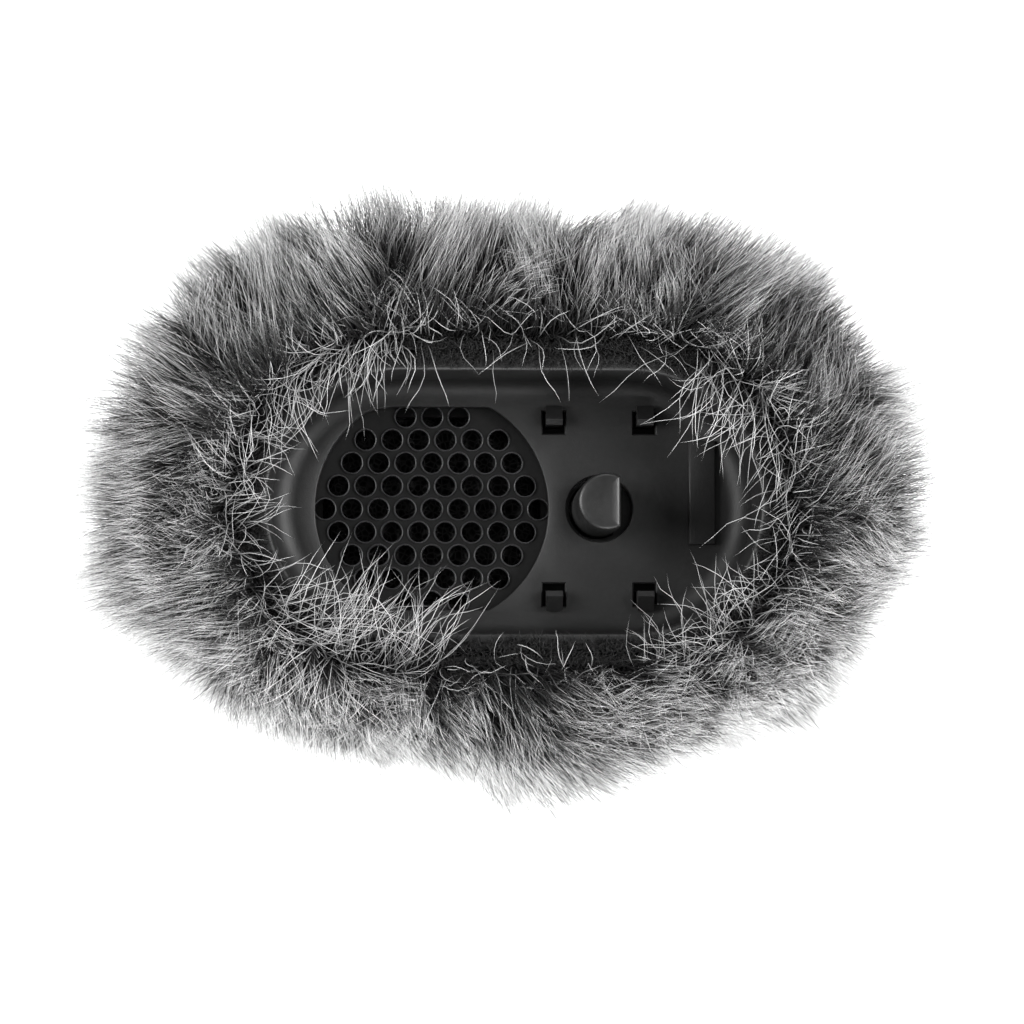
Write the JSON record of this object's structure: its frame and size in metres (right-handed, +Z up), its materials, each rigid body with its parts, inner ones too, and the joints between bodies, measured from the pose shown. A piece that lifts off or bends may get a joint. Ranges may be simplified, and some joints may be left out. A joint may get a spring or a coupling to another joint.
{
  "type": "furry windscreen",
  "caption": "Long-pile grey fur windscreen with a black pill-shaped moulded socket, a round perforated grille and a D-shaped locking peg, for a pocket clip-on microphone.",
  "frame": {"origin": "centre of the bounding box at its base, on the surface that the fur's crown lies on", "axes": "+Z up out of the socket's mouth; +X along the socket, from the grille towards the peg; +Y across it"},
  "size_m": [0.054, 0.04, 0.032],
  "materials": {
    "black_moulding": "satin near-black moulded plastic with a fine spark texture",
    "grille_moulding": "satin black moulded plastic, countersunk holes",
    "peg_moulding": "satin dark grey moulded plastic",
    "foam": "black open-cell foam",
    "glue": "matt black adhesive",
    "binding_tape": "black woven tape",
    "fur": "long-pile faux fur, black at the roots, through grey to near-white tips"
  },
  "bodies": {
    "windscreen": {"socket_cup": "black_moulding", "mic_grille": "grille_moulding", "carrier_plate": "black_moulding", "locking_peg": "peg_moulding", "foam_pad": "foam", "foam_core": "foam", "glue_band": "glue", "hem_binding": "binding_tape", "fur_front": "fur", "fur_right": "fur", "fur_back": "fur", "fur_left": "fur"},
    "hook_front_left": {"snap_hook_front_left": "black_moulding"},
    "hook_front_right": {"snap_hook_front_right": "black_moulding"},
    "hook_back_left": {"snap_hook_back_left": "black_moulding"},
    "hook_back_right": {"snap_hook_back_right": "black_moulding"}
  },
  "joints": [
    {"name": "flex_front_left", "type": "hinge", "parent": "windscreen", "child": "hook_front_left", "pos_m": [0.00269, -0.00562, 0.0189], "axis": [-1, 0, 0], "range_deg": [0, 8], "stiffness_Nm_per_rad": 0.02},
    {"name": "flex_front_right", "type": "hinge", "parent": "windscreen", "child": "hook_front_right", "pos_m": [0.00847, -0.00562, 0.0189], "axis": [-1, 0, 0], "range_deg": [0, 8], "stiffness_Nm_per_rad": 0.02},
    {"name": "flex_back_left", "type": "hinge", "parent": "windscreen", "child": "hook_back_left", "pos_m": [0.00269, 0.00562, 0.0189], "axis": [1, 0, 0], "range_deg": [0, 8], "stiffness_Nm_per_rad": 0.02},
    {"name": "flex_back_right", "type": "hinge", "parent": "windscreen", "child": "hook_back_right", "pos_m": [0.00847, 0.00562, 0.0189], "axis": [1, 0, 0], "range_deg": [0, 8], "stiffness_Nm_per_rad": 0.02}
  ]
}
